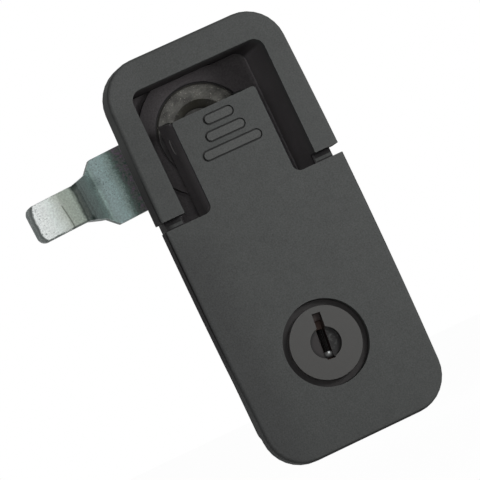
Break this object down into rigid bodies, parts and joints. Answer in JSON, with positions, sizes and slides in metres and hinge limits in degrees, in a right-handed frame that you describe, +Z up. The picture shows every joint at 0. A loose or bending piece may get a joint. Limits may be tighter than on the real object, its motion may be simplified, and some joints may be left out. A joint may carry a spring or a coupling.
{
  "type": "pushbutton cabinet lock",
  "caption": "Flush cabinet door lock: pressing the ribbed tongue tips the folding lever out, a spindle turns a cranked cam behind the door, and a key cylinder locks the lever down.",
  "frame": {"origin": "on the door's front face, in the middle of the lock's face and of its four fixing pillars", "axes": "+Z up along the lock, +Y into the cabinet along the fixing screws, +X to the right of someone facing the door"},
  "size_m": [0.072, 0.051, 0.109],
  "materials": {
    "black_paint": "fine matt black powder coat",
    "black_plug": "smooth satin black",
    "raw_zinc": "raw die-cast zinc, grainy",
    "zinc_plate": "blue-white zinc plating",
    "steel": "plain steel",
    "brass": "stamped",
    "rubber": "matt"
  },
  "bodies": {
    "case": {"housing": "black_paint", "hub": "raw_zinc", "cross_pin": "steel", "detent_balls": "steel", "detent_spring": "steel", "panel_gasket": "rubber"},
    "lever": {"lever": "black_paint", "cylinder_body": "black_plug", "cylinder_clip": "steel"},
    "plug": {"key_plug": "black_plug", "wafers": "brass", "wafer_springs": "steel", "locking_tail": "steel", "tail_screw": "steel"},
    "rotor": {"spindle": "raw_zinc", "spindle_seal": "rubber", "spindle_clip": "steel", "stop_plate": "zinc_plate", "cam": "zinc_plate", "cam_washer": "zinc_plate", "cam_spring_washer": "steel", "cam_screw": "zinc_plate"}
  },
  "joints": [
    {"name": "lever_lift", "type": "hinge", "parent": "case", "child": "lever", "pos_m": [0, 0.0015, 0.0311], "axis": [-1, 0, 0], "range_deg": [0, 40]},
    {"name": "key_turn", "type": "hinge", "parent": "lever", "child": "plug", "pos_m": [0, 0, -0.0291], "axis": [0, 1, 0], "range_deg": [0, 90]},
    {"name": "cam_turn", "type": "hinge", "parent": "case", "child": "rotor", "pos_m": [0, 0, 0.0323], "axis": [0, -1, 0], "range_deg": [0, 90]}
  ]
}
